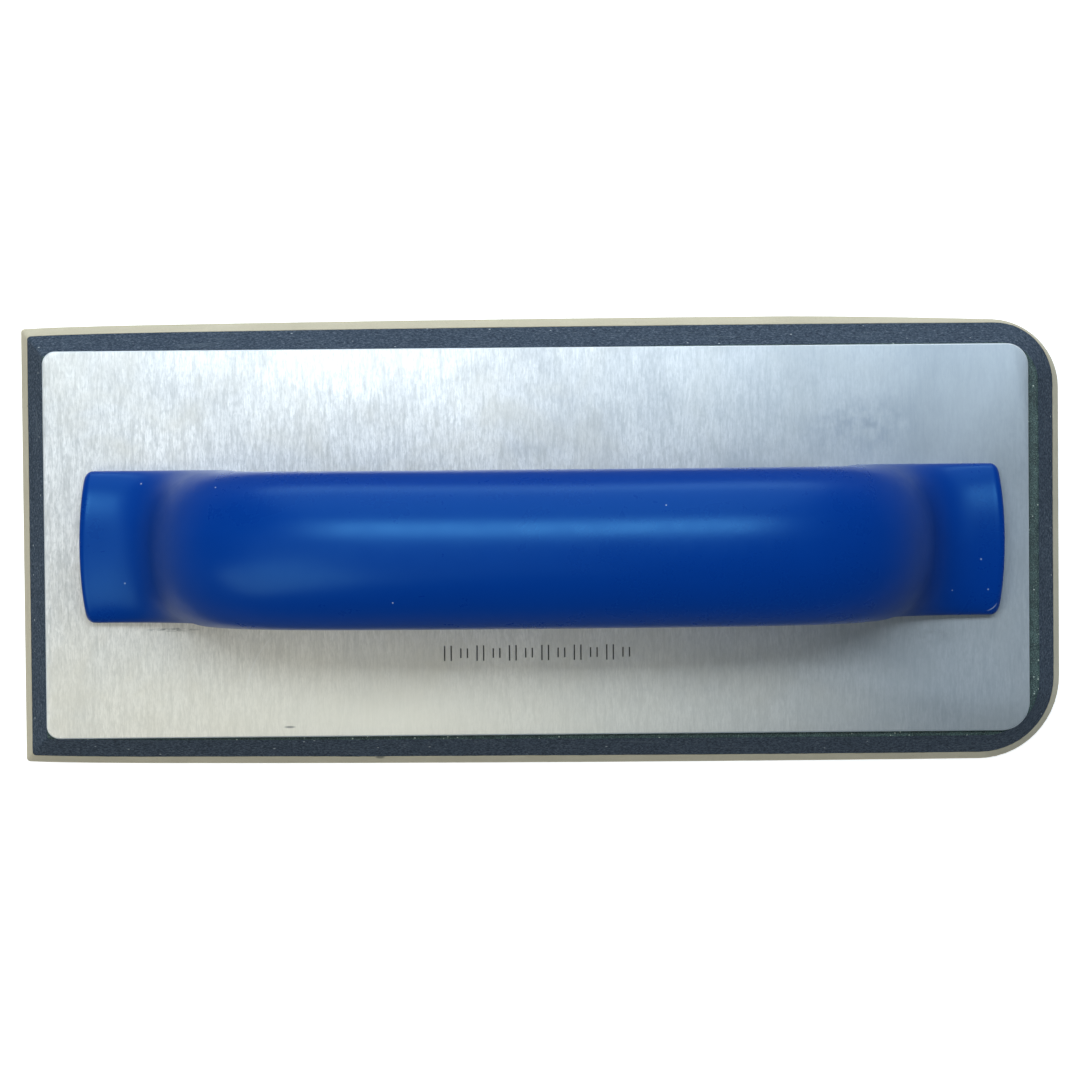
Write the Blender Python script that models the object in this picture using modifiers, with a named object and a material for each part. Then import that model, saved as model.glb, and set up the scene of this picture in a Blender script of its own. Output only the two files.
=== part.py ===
"""Rubber grout float, built piece by piece.

A gum rubber face and a sponge rubber core are bonded together into a pad with bevelled
sides. The pad is bonded under an aluminium backing plate, and a moulded plastic handle is
screwed to the plate from beneath. Nothing on the tool moves.

Frame: +X along the tool, towards the two rounded corners. +Y across it. +Z up, away from
the working face. The origin is the middle of the working face.
"""
import math

import bmesh
import bpy

MM = 0.001
GAP = 0.3 * MM  # clearance between pieces that touch

# ---- driving dimensions -------------------------------------------------------------

# Pad, cut from laminated rubber with a leaning blade
PAD_LENGTH = 241.3 * MM  # 9 1/2 in
PAD_WIDTH = 101.6 * MM  # 4 in, at the square end
PAD_BOW = 1.1 * MM  # how far each long side swells out
PAD_BOW_X = 55 * MM  # where along X it swells most
PAD_PINCH = 0.4 * MM  # how far the long sides tuck in at the square end
PAD_PINCH_REACH = 9 * MM
BACK_TRIM = 1.6 * MM  # how much more the gum's foot is trimmed at the rounded back corner
BACK_TRIM_X = 55 * MM  # where that trimming starts
SQUARE_CORNER = 0.8 * MM
ROUND_CORNER_BACK = 15.5 * MM  # the +Y corner
ROUND_CORNER_FRONT = 19.0 * MM  # the -Y corner
GUM_THICKNESS = 4.8 * MM
GUM_BEVEL = 1.9 * MM  # how far the gum's top outline lies inside its bottom one
FOAM_THICKNESS = 9.6 * MM
PAD_BEVEL = 6.8 * MM  # how far the foam's top outline lies inside the gum's bottom one
FACE_FILM = 0.3 * MM
PLATE_FILM = 0.4 * MM

# Backing plate
PLATE_LENGTH = 224.6 * MM
PLATE_WIDTH = 88.4 * MM
PLATE_THICKNESS = 2.0 * MM
PLATE_OFFSET = (-1.2 * MM, 0.5 * MM)
PLATE_CORNERS = {"square_end": 3.0 * MM, "back": 5.0 * MM, "front": 6.4 * MM}
PLATE_EDGE = 0.25 * MM

# Handle
HANDLE_OFFSET = (0, 0.2 * MM)
HANDLE_HALF_WIDTH = 17.25 * MM
HANDLE_END_RADIUS = 110 * MM  # each end bulges outwards in plan
HANDLE_END_ROUND = 1.8 * MM

# Screws, driven up through the plate into the feet
SCREW_X = 80 * MM
SCREW_Y = 9 * MM
SCREW_LENGTH = 12.7 * MM
SCREW_HEAD_RADIUS = 3.5 * MM
SCREW_HEAD_HEIGHT = 1.75 * MM
SCREW_CREST_RADIUS = 1.75 * MM
SCREW_ROOT_RADIUS = 1.3 * MM
SCREW_PITCH = 1.27 * MM
SCREW_CLEARANCE = 0.35 * MM  # between the screw and the plate, measured across it
SCREW_SINK = 0.05 * MM  # how far the head's face lies above the plate's underside
RECESS_ARM = (3.6 * MM, 0.9 * MM)  # each arm of the cross recess
RECESS_DEPTH = 1.1 * MM
PILOT_SPARE_DEPTH = 1.0 * MM  # beyond the screw's tip

OVERSHOOT = 0.5 * MM  # how far a cutter runs past the surface that it opens

# ---- heights that follow from them --------------------------------------------------

FACE_FILM_Z = GUM_THICKNESS + GAP
FOAM_Z = FACE_FILM_Z + FACE_FILM + GAP
FOAM_TOP_Z = FOAM_Z + FOAM_THICKNESS
PLATE_FILM_Z = FOAM_TOP_Z + GAP
PLATE_Z = PLATE_FILM_Z + PLATE_FILM + GAP
PLATE_TOP_Z = PLATE_Z + PLATE_THICKNESS
FOOT_Z = PLATE_TOP_Z + GAP

# Half of the handle's side view, from the middle of the grip out to the end of a foot.
# Each row is (x, z) on the outer side, (x, z) on the inner side, in millimetres with z
# from the plate's top, and how square the section is above and below its widest line:
# 2 is an ellipse, and more is squarer.
HANDLE_STATIONS = [
    ((0.0, 56.0), (0.0, 29.0), 2.15, 2.2),
    ((16.0, 55.7), (16.0, 29.0), 2.15, 2.2),
    ((31.0, 54.7), (31.0, 28.8), 2.15, 2.2),
    ((45.0, 52.9), (43.5, 28.2), 2.15, 2.2),
    ((57.0, 50.2), (51.5, 26.8), 2.15, 2.25),
    ((66.5, 46.9), (57.5, 23.6), 2.15, 2.3),
    ((74.0, 42.9), (61.5, 19.0), 2.15, 2.5),
    ((79.8, 37.8), (64.0, 13.5), 2.15, 3.0),
    ((83.6, 31.2), (65.4, 7.5), 2.15, 4.0),
    ((85.9, 24.0), (66.2, 1.8), 2.15, 6.0),
    ((87.4, 17.3), (71.0, -1.5), 2.15, 10.0),
    ((89.2, 12.0), (79.0, -1.5), 2.15, 12.0),
    ((92.6, 8.8), (87.5, -1.5), 2.15, 12.0),
    ((98.0, 7.4), (96.6, -1.5), 2.15, 12.0),
    ((103.0, 6.7), (103.0, -1.5), 2.15, 12.0),
]
HANDLE_END_X = 104.8  # where the rounded end stops, in the same millimetres
BULGE_START_X = 86.0  # from here outwards the sections take on the end's bulge
RINGS_PER_STATION = 2
SECTION_POINTS = 36
END_RINGS = 4

# Colours are linear RGB
GUM_COLOUR = (0.48, 0.44, 0.33)
FOAM_COLOUR = (0.035, 0.06, 0.095)
CEMENT_COLOUR = (0.16, 0.15, 0.11)
GREEN_FILM_COLOUR = (0.045, 0.085, 0.075)
ALUMINIUM_COLOUR = (0.62, 0.64, 0.66)
HANDLE_COLOUR = (0.0, 0.035, 0.33)
STEEL_COLOUR = (0.55, 0.55, 0.57)


# ---- collections and materials ------------------------------------------------------


def clear_scene():
    for existing in list(bpy.data.objects):
        bpy.data.objects.remove(existing, do_unlink=True)


def new_collection(name):
    collection = bpy.data.collections.new(name)
    bpy.context.scene.collection.children.link(collection)
    return collection


def new_material(name, colour, roughness, metallic=0.0):
    material = bpy.data.materials.new(name)
    material.use_nodes = True
    shader = material.node_tree.nodes["Principled BSDF"]
    shader.inputs["Base Color"].default_value = (*colour, 1.0)
    shader.inputs["Roughness"].default_value = roughness
    shader.inputs["Metallic"].default_value = metallic
    material.diffuse_color = (*colour, 1.0)
    return material


def object_from_bmesh(bm, name, collection, material=None):
    bmesh.ops.recalc_face_normals(bm, faces=bm.faces)
    mesh = bpy.data.meshes.new(name)
    bm.to_mesh(mesh)
    bm.free()
    piece = bpy.data.objects.new(name, mesh)
    collection.objects.link(piece)
    if material:
        mesh.materials.append(material)
    return piece


def smooth_with_creases(piece, degrees=35):
    piece.data.shade_smooth()
    piece.data.set_sharp_from_angle(angle=math.radians(degrees))


def block(name, collection, size, location):
    """A box of the given size, centred on location."""
    bpy.ops.mesh.primitive_cube_add(size=1, location=location)
    box = bpy.context.object
    box.name = name
    box.scale = size
    for old in list(box.users_collection):
        old.objects.unlink(box)
    collection.objects.link(box)
    return box


def cut(piece, cutter):
    boolean = piece.modifiers.new("cut_" + cutter.name, "BOOLEAN")
    boolean.operation = "DIFFERENCE"
    boolean.solver = "EXACT"
    boolean.object = cutter
    cutter.hide_render = True
    cutter.display_type = "WIRE"


# ---- outlines and lofts -------------------------------------------------------------


def rounded_rectangle(half_length, half_width, corners, arc_points, side_points):
    """Points anticlockwise round a rectangle. corners gives the radius at (+X, +Y),
    (-X, +Y), (-X, -Y) and (+X, -Y); the long sides get side_points extra points."""
    signs = ((1, 1), (-1, 1), (-1, -1), (1, -1))
    points = []
    for index, (radius, (sign_x, sign_y)) in enumerate(zip(corners, signs)):
        centre_x = sign_x * (half_length - radius)
        centre_y = sign_y * (half_width - radius)
        for step in range(arc_points):
            angle = math.radians(90) * (index + step / (arc_points - 1))
            points.append((centre_x + radius * math.cos(angle), centre_y + radius * math.sin(angle)))
        if index in (0, 2):
            next_x = -sign_x * (half_length - corners[index + 1])
            last_x = points[-1][0]
            for step in range(1, side_points + 1):
                share = step / (side_points + 1)
                points.append((last_x + share * (next_x - last_x), sign_y * half_width))
    return points


def side_swell(x):
    """How much wider than PAD_WIDTH the pad is on each side at x."""
    bow = PAD_BOW * (1 - ((x - PAD_BOW_X) / (PAD_LENGTH / 2 + PAD_BOW_X)) ** 2)
    pinch = PAD_PINCH * math.exp(-(x + PAD_LENGTH / 2) / PAD_PINCH_REACH)
    return bow - pinch


def back_trim(x, inset):
    """How much the back side is trimmed at x. The trim fades out at the gum's top."""
    run = max(0.0, x - BACK_TRIM_X) / (PAD_LENGTH / 2 - BACK_TRIM_X)
    return BACK_TRIM * run**1.5 * max(0.0, 1 - inset / GUM_BEVEL)


def pad_outline(inset):
    """The pad's outline, moved in all round by inset."""
    half_width = PAD_WIDTH / 2 - inset
    corners = (
        ROUND_CORNER_BACK - inset,
        SQUARE_CORNER,
        SQUARE_CORNER,
        ROUND_CORNER_FRONT - inset,
    )
    points = []
    for x, y in rounded_rectangle(PAD_LENGTH / 2 - inset, half_width, corners, 9, 22):
        swell = side_swell(x)
        if y > 0:
            swell -= back_trim(x, inset)
        points.append((x, y * (1 + swell / half_width)))
    return points


def add_loop(bm, points):
    """A closed loop of edges through 3-D points."""
    verts = [bm.verts.new(point) for point in points]
    for start, end in zip(verts, verts[1:] + verts[:1]):
        bm.edges.new((start, end))
    return verts


def loop_edges(verts):
    ends = zip(verts, verts[1:] + verts[:1])
    return [next(edge for edge in start.link_edges if edge.other_vert(start) is end) for start, end in ends]


def skin_loops(bm, loops):
    """Quads between each loop and the next."""
    for lower, upper in zip(loops, loops[1:]):
        count = len(lower)
        for i in range(count):
            j = (i + 1) % count
            bm.faces.new((lower[i], lower[j], upper[j], upper[i]))


def slab(name, collection, material, levels):
    """A solid through pad outlines. levels are (z, inset) from the bottom up."""
    bm = bmesh.new()
    loops = []
    for z, inset in levels:
        loops.append(add_loop(bm, [(x, y, z) for x, y in pad_outline(inset)]))
    for lower, upper in zip(loops, loops[1:]):
        bmesh.ops.bridge_loops(bm, edges=loop_edges(lower) + loop_edges(upper))
    for cap in (loops[0], loops[-1]):
        bmesh.ops.contextual_create(bm, geom=cap)
    piece = object_from_bmesh(bm, name, collection, material)
    smooth_with_creases(piece, 30)
    return piece


def bevel_inset(z):
    """How far the pad's side has leaned in at height z."""
    if z <= GUM_THICKNESS:
        return GUM_BEVEL * z / GUM_THICKNESS
    climb = (z - GUM_THICKNESS) / (FOAM_TOP_Z - GUM_THICKNESS)
    return GUM_BEVEL + climb * (PAD_BEVEL - GUM_BEVEL)


def pad_layer(name, collection, material, bottom, thickness):
    top = bottom + thickness
    return slab(name, collection, material, [(bottom, bevel_inset(bottom)), (top, bevel_inset(top))])


# ---- turned shapes ------------------------------------------------------------------


def turned(name, collection, material, profile, steps):
    """A solid of revolution. profile is (radius, z) from the top down, axis to axis."""
    mesh = bpy.data.meshes.new(name)
    verts = [(radius, 0, z) for radius, z in profile]
    mesh.from_pydata(verts, [(i, i + 1) for i in range(len(verts) - 1)], [])
    piece = bpy.data.objects.new(name, mesh)
    collection.objects.link(piece)
    screw = piece.modifiers.new("turn", "SCREW")
    screw.steps = steps
    screw.render_steps = steps
    screw.use_merge_vertices = True
    screw.merge_threshold = 0.00001
    if material:
        mesh.materials.append(material)
    return piece


def screw_places():
    """(x, y) of each screw, two under each foot."""
    middle_x, middle_y = HANDLE_OFFSET
    sides = (-1, 1)
    return [(middle_x + end * SCREW_X, middle_y + row * SCREW_Y) for end in sides for row in sides]


# ---- pieces -------------------------------------------------------------------------


def build_plate(collection, cutters):
    corners = (
        PLATE_CORNERS["back"],
        PLATE_CORNERS["square_end"],
        PLATE_CORNERS["square_end"],
        PLATE_CORNERS["front"],
    )
    outline = rounded_rectangle(PLATE_LENGTH / 2, PLATE_WIDTH / 2, corners, 7, 0)
    bm = bmesh.new()
    add_loop(bm, [(x, y, 0) for x, y in outline])
    face = bmesh.ops.contextual_create(bm, geom=bm.edges[:])["faces"]
    extruded = bmesh.ops.extrude_face_region(bm, geom=face)["geom"]
    top = [item for item in extruded if isinstance(item, bmesh.types.BMVert)]
    bmesh.ops.translate(bm, vec=(0, 0, PLATE_THICKNESS), verts=top)
    material = new_material("brushed_aluminium", ALUMINIUM_COLOUR, 0.35, 1.0)
    plate = object_from_bmesh(bm, "backing_plate", collection, material)
    plate.location = (*PLATE_OFFSET, PLATE_Z)
    bevel = plate.modifiers.new("edge", "BEVEL")
    bevel.width = PLATE_EDGE
    bevel.segments = 1
    bevel.angle_limit = math.radians(40)

    clearance_radius = SCREW_CREST_RADIUS + SCREW_CLEARANCE
    mouth_radius = SCREW_HEAD_RADIUS + SCREW_CLEARANCE
    profile = [
        (0, PLATE_THICKNESS + OVERSHOOT),
        (clearance_radius, PLATE_THICKNESS + OVERSHOOT),
        (clearance_radius, SCREW_HEAD_HEIGHT),
        (mouth_radius + OVERSHOOT, -OVERSHOOT),
        (0, -OVERSHOOT),
    ]
    for number, (x, y) in enumerate(screw_places(), start=1):
        cutter = turned(f"plate_hole_{number}", cutters, None, profile, 20)
        cutter.location = (x, y, PLATE_Z)
        cut(plate, cutter)
    return plate


def catmull_rom(before, start, end, after, share):
    """The value at share of the way from start to end on a smooth curve."""
    bend = 2 * before - 5 * start + 4 * end - after
    twist = 3 * (start - end) + after - before
    return start + 0.5 * share * (end - before + share * (bend + share * twist))


def handle_rows():
    """HANDLE_STATIONS as plain rows, smoothed into RINGS_PER_STATION times as many."""
    rows = [(*outer, *inner, above, below) for outer, inner, above, below in HANDLE_STATIONS]
    mirrored = (-rows[1][0], rows[1][1], -rows[1][2], *rows[1][3:])
    padded = [mirrored] + rows + [rows[-1]]
    smooth = []
    for i in range(1, len(padded) - 2):
        for step in range(RINGS_PER_STATION):
            share = step / RINGS_PER_STATION
            smooth.append(tuple(catmull_rom(*column, share) for column in zip(*padded[i - 1 : i + 3])))
    return smooth + [rows[-1]]


def section_point(angle, above, below):
    """A point on a section 2 wide and 2 thick, as (across, through)."""
    squareness = above if math.sin(angle) > 0 else below
    across = math.copysign(abs(math.cos(angle)) ** (2 / squareness), math.cos(angle))
    through = math.copysign(abs(math.sin(angle)) ** (2 / squareness), math.sin(angle))
    return across, through


def handle_ring(row, narrowing=0.0, lowering=0.0, push=0.0):
    """One section of the handle. narrowing and lowering shrink it, and push moves it out."""
    outer_x, outer_z, inner_x, inner_z, above, below = row
    outer_z -= lowering
    half_width = HANDLE_HALF_WIDTH - narrowing * MM
    middle = ((outer_x + inner_x) / 2, (outer_z + inner_z) / 2)
    reach = ((outer_x - inner_x) / 2, (outer_z - inner_z) / 2)
    bulge_share = max(0.0, (outer_x - BULGE_START_X) / (HANDLE_END_X - BULGE_START_X))
    points = []
    for step in range(SECTION_POINTS):
        angle = 2 * math.pi * (step + 0.5) / SECTION_POINTS
        across, through = section_point(angle, above, below)
        y = half_width * across
        bulge = HANDLE_END_RADIUS - math.sqrt(HANDLE_END_RADIUS**2 - y**2)
        x = (middle[0] + reach[0] * through + push) * MM - bulge * bulge_share
        points.append((x, y, (middle[1] + reach[1] * through) * MM))
    return points


def build_handle(collection, cutters):
    rows = handle_rows()
    rings = [handle_ring(row) for row in rows]
    round_size = HANDLE_END_ROUND / MM
    for step in range(1, END_RINGS + 1):
        angle = math.radians(90) * step / END_RINGS
        inward = round_size * (1 - math.cos(angle))
        rings.append(handle_ring(rows[-1], inward, inward * 0.6, round_size * math.sin(angle)))
    bm = bmesh.new()
    loops = [[bm.verts.new(point) for point in ring] for ring in rings]
    skin_loops(bm, loops)
    bmesh.ops.contextual_create(bm, geom=loops[-1])
    material = new_material("handle_blue_plastic", HANDLE_COLOUR, 0.35)
    handle = object_from_bmesh(bm, "handle", collection, material)
    smooth_with_creases(handle, 50)
    handle.location = (*HANDLE_OFFSET, PLATE_TOP_Z)
    mirror = handle.modifiers.new("both_halves", "MIRROR")
    mirror.use_axis[0] = True
    mirror.use_clip = True
    mirror.merge_threshold = 0.00001

    depth = 10 * MM
    cut(handle, block("sole_cut", cutters, (PAD_LENGTH, PAD_WIDTH, depth), (0, 0, FOOT_Z - depth / 2)))

    radius = SCREW_CREST_RADIUS + GAP
    bottom = SCREW_LENGTH - PLATE_THICKNESS + PILOT_SPARE_DEPTH
    profile = [(0, bottom + radius / 2), (radius, bottom), (radius, -OVERSHOOT), (0, -OVERSHOOT)]
    for number, (x, y) in enumerate(screw_places(), start=1):
        cutter = turned(f"pilot_hole_{number}", cutters, None, profile, 16)
        cutter.location = (x, y, FOOT_Z)
        cut(handle, cutter)
    return handle


def screw_profile():
    """Point uppermost: tip, thread, then the countersunk head with its face at z = 0."""
    profile = [(0, SCREW_LENGTH), (0.5 * MM, SCREW_LENGTH - 0.2 * MM)]
    thread_top = SCREW_LENGTH - 1.6 * MM
    thread_bottom = SCREW_HEAD_HEIGHT + 0.5 * MM
    turns = int((thread_top - thread_bottom) / SCREW_PITCH)
    for turn in range(turns):
        z = thread_top - turn * SCREW_PITCH
        profile.append((SCREW_ROOT_RADIUS, z))
        profile.append((SCREW_CREST_RADIUS, z - 0.5 * SCREW_PITCH))
    profile.append((SCREW_ROOT_RADIUS, thread_top - turns * SCREW_PITCH))
    profile.append((SCREW_CREST_RADIUS, SCREW_HEAD_HEIGHT))
    profile.append((SCREW_HEAD_RADIUS, 0.15 * MM))
    profile.append((SCREW_HEAD_RADIUS, 0))
    profile.append((0, 0))
    return profile


def build_screws(collection, cutters):
    material = new_material("zinc_plated_steel", STEEL_COLOUR, 0.3, 1.0)
    for number, (x, y) in enumerate(screw_places(), start=1):
        screw = turned(f"handle_screw_{number}", collection, material, screw_profile(), 14)
        screw.location = (x, y, PLATE_Z + SCREW_SINK)
        for axis, size in (("x", RECESS_ARM), ("y", RECESS_ARM[::-1])):
            arm = block(f"recess_{number}_{axis}", cutters, (*size, 2 * RECESS_DEPTH), screw.location)
            cut(screw, arm)


def main():
    clear_scene()
    parts = new_collection("grout_float")
    cutters = new_collection("cutters")

    gum = new_material("gum_rubber", GUM_COLOUR, 0.7)
    foam = new_material("sponge_rubber", FOAM_COLOUR, 0.85)
    cement = new_material("rubber_cement", CEMENT_COLOUR, 0.6)
    green = new_material("green_bond_film", GREEN_FILM_COLOUR, 0.6)
    pad_layer("gum_rubber_face", parts, gum, 0.0, GUM_THICKNESS)
    pad_layer("face_bond_film", parts, cement, FACE_FILM_Z, FACE_FILM)
    pad_layer("foam_core", parts, foam, FOAM_Z, FOAM_THICKNESS)
    film_levels = [(PLATE_FILM_Z, PAD_BEVEL), (PLATE_FILM_Z + PLATE_FILM, PAD_BEVEL)]
    slab("plate_bond_film", parts, green, film_levels)
    build_plate(parts, cutters)
    build_handle(parts, cutters)
    build_screws(parts, cutters)


main()
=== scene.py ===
"""The looks of the rubber grout float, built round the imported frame.

Every piece of the frame except the screws is replaced by a finer one of the same size and
place. All lengths are in metres in the frame's own axes: +X towards the rounded corners,
+Z up from the working face.
"""
import math

import bmesh
import bpy
import numpy as np
from mathutils import Matrix, Vector, noise


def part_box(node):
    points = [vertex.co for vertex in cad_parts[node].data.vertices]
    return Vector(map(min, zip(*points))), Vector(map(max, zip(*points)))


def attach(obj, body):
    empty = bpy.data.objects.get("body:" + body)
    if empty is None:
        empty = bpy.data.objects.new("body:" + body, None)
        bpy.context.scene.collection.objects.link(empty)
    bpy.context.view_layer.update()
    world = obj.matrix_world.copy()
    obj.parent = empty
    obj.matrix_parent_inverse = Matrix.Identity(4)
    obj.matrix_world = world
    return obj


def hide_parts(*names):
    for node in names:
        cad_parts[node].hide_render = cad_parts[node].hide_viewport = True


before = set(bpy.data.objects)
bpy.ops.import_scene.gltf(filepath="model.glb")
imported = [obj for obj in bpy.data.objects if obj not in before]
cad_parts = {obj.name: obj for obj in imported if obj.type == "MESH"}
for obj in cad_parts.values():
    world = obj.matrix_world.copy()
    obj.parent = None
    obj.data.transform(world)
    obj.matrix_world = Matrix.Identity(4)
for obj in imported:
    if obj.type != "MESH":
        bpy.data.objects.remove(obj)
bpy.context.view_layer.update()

MM = 0.001

# ---- sizes read from the frame ------------------------------------------------------

gum_low, gum_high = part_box("gum_rubber_face")
plate_low, plate_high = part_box("backing_plate")
handle_low, handle_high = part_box("handle")

PAD_HALF_LENGTH = (gum_high.x - gum_low.x) / 2
GUM_TOP = gum_high.z + 0.2 * MM
FOAM_TOP = plate_low.z - 0.45 * MM
PLATE_BOTTOM = plate_low.z
PLATE_TOP = plate_high.z
PLATE_CENTRE = ((plate_low.x + plate_high.x) / 2, (plate_low.y + plate_high.y) / 2)
HANDLE_CENTRE = ((handle_low.x + handle_high.x) / 2, (handle_low.y + handle_high.y) / 2)

# ---- sizes of the pad and the plate, as in the frame --------------------------------

PAD_HALF_WIDTH = 50.8 * MM
PAD_BOW = 1.1 * MM  # how far each long side swells out
PAD_BOW_X = 55 * MM  # where along X it swells most
PAD_PINCH = 0.4 * MM  # how far the long sides tuck in at the square end
PAD_PINCH_REACH = 9 * MM  # how soon that fades along X
BACK_TRIM = 1.6 * MM  # how much more the gum's foot is trimmed at the rounded back corner
BACK_TRIM_X = 55 * MM  # where that trimming starts
ROUND_CORNER_BACK = 15.5 * MM
ROUND_CORNER_FRONT = 19.0 * MM
SQUARE_CORNER = 0.8 * MM
GUM_BEVEL = 1.9 * MM  # how far the gum's side leans in over its height
PAD_BEVEL = 6.8 * MM  # the same for gum and sponge together

PLATE_CORNERS = (5.0 * MM, 3.0 * MM, 3.0 * MM, 6.4 * MM)  # as rounded_rectangle takes them
PLATE_EDGE = 0.32 * MM  # how far its edges are rounded, above and below
TICK_CENTRE = (-1.4 * MM, -24.9 * MM)  # middle of the stamped row


# ---- mesh helpers -------------------------------------------------------------------


def smooth_noise(x, y, z, size, seed=0.0):
    """Noise from -1 to 1 with features about size across."""
    return noise.noise(Vector((x / size + seed, y / size - seed, z / size + 0.5 * seed)))


def piece_from_bmesh(bm, name, sharp_degrees=35):
    """An object from bm, smooth except where faces meet at more than sharp_degrees."""
    bmesh.ops.remove_doubles(bm, verts=bm.verts, dist=1e-7)
    bmesh.ops.recalc_face_normals(bm, faces=bm.faces)
    mesh = bpy.data.meshes.new(name)
    bm.to_mesh(mesh)
    bm.free()
    mesh.shade_smooth()
    mesh.set_sharp_from_angle(angle=math.radians(sharp_degrees))
    piece = bpy.data.objects.new(name, mesh)
    bpy.context.scene.collection.objects.link(piece)
    return piece


def skin(rings):
    """A bmesh of quads through rings of equal length, closed at both ends."""
    bm = bmesh.new()
    loops = [[bm.verts.new(point) for point in ring] for ring in rings]
    for lower, upper in zip(loops, loops[1:]):
        count = len(lower)
        for i in range(count):
            j = (i + 1) % count
            bm.faces.new((lower[i], lower[j], upper[j], upper[i]))
    bm.faces.new(loops[0][::-1])
    bm.faces.new(loops[-1])
    return bm


def apply_modifiers(piece):
    """Keep the mesh that the piece's modifiers make, and drop the modifiers."""
    evaluated = piece.evaluated_get(bpy.context.evaluated_depsgraph_get())
    mesh = bpy.data.meshes.new_from_object(evaluated)
    piece.modifiers.clear()
    piece.data = mesh


def rounded_rectangle(half_length, half_width, corners, arc_points, long_points, short_points):
    """Points anticlockwise round a rectangle. corners gives the radius at (+X, +Y),
    (-X, +Y), (-X, -Y) and (+X, -Y)."""
    signs = ((1, 1), (-1, 1), (-1, -1), (1, -1))
    points = []
    for index, (radius, (sign_x, sign_y)) in enumerate(zip(corners, signs)):
        centre_x = sign_x * (half_length - radius)
        centre_y = sign_y * (half_width - radius)
        for step in range(arc_points):
            angle = math.radians(90) * (index + step / (arc_points - 1))
            x = centre_x + radius * math.cos(angle)
            y = centre_y + radius * math.sin(angle)
            points.append((x, y))
        after = (index + 1) % 4
        next_sign_x, next_sign_y = signs[after]
        turn = math.radians(90) * (index + 1)
        next_x = next_sign_x * (half_length - corners[after]) + corners[after] * math.cos(turn)
        next_y = next_sign_y * (half_width - corners[after]) + corners[after] * math.sin(turn)
        last_x, last_y = points[-1]
        count = long_points if index in (0, 2) else short_points
        for step in range(1, count + 1):
            share = step / (count + 1)
            points.append((last_x + share * (next_x - last_x), last_y + share * (next_y - last_y)))
    return points


def pad_outline(inset):
    """The pad's outline, moved in all round by inset."""
    half_width = PAD_HALF_WIDTH - inset
    round_back = max(ROUND_CORNER_BACK - inset, 2 * MM)
    round_front = max(ROUND_CORNER_FRONT - inset, 2 * MM)
    corners = (round_back, SQUARE_CORNER, SQUARE_CORNER, round_front)
    points = []
    for x, y in rounded_rectangle(PAD_HALF_LENGTH - inset, half_width, corners, 15, 210, 84):
        swell = PAD_BOW * (1 - ((x - PAD_BOW_X) / (PAD_HALF_LENGTH + PAD_BOW_X)) ** 2)
        swell -= PAD_PINCH * math.exp(-(x + PAD_HALF_LENGTH) / PAD_PINCH_REACH)
        if y > 0:
            run = max(0.0, x - BACK_TRIM_X) / (PAD_HALF_LENGTH - BACK_TRIM_X)
            swell -= BACK_TRIM * run**1.5 * max(0.0, 1 - inset / GUM_BEVEL)
        points.append((x, y * (1 + swell / half_width)))
    return points


def pad_ring(z, inset, wave=0.0, grain=0.0, lift=0.0, seed=0.0):
    """The pad's outline at height z. wave and grain pull it in unevenly, lift roughens z."""
    ring = []
    for x, y in pad_outline(inset):
        pull = wave * (0.5 + 0.5 * smooth_noise(x, y, z, 22 * MM, seed))
        pull += grain * (0.5 + 0.5 * smooth_noise(x, y, z, 0.9 * MM, seed + 3))
        reach = math.hypot(x, y)
        scale = 1 - pull / reach
        height = z + lift * smooth_noise(x, y, z, 1.1 * MM, seed + 7)
        ring.append((x * scale, y * scale, height))
    return ring


def bevel_inset(z):
    """How far the pad's side has leaned in at height z."""
    if z <= GUM_TOP:
        return GUM_BEVEL * z / GUM_TOP
    return GUM_BEVEL + (z - GUM_TOP) / (FOAM_TOP - GUM_TOP) * (PAD_BEVEL - GUM_BEVEL)


# ---- material helpers ---------------------------------------------------------------

# Places of a colour Mix node's sockets, which share their names with its other types.
COLOUR_A = 6
COLOUR_B = 7
COLOUR_RESULT = 2


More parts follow.
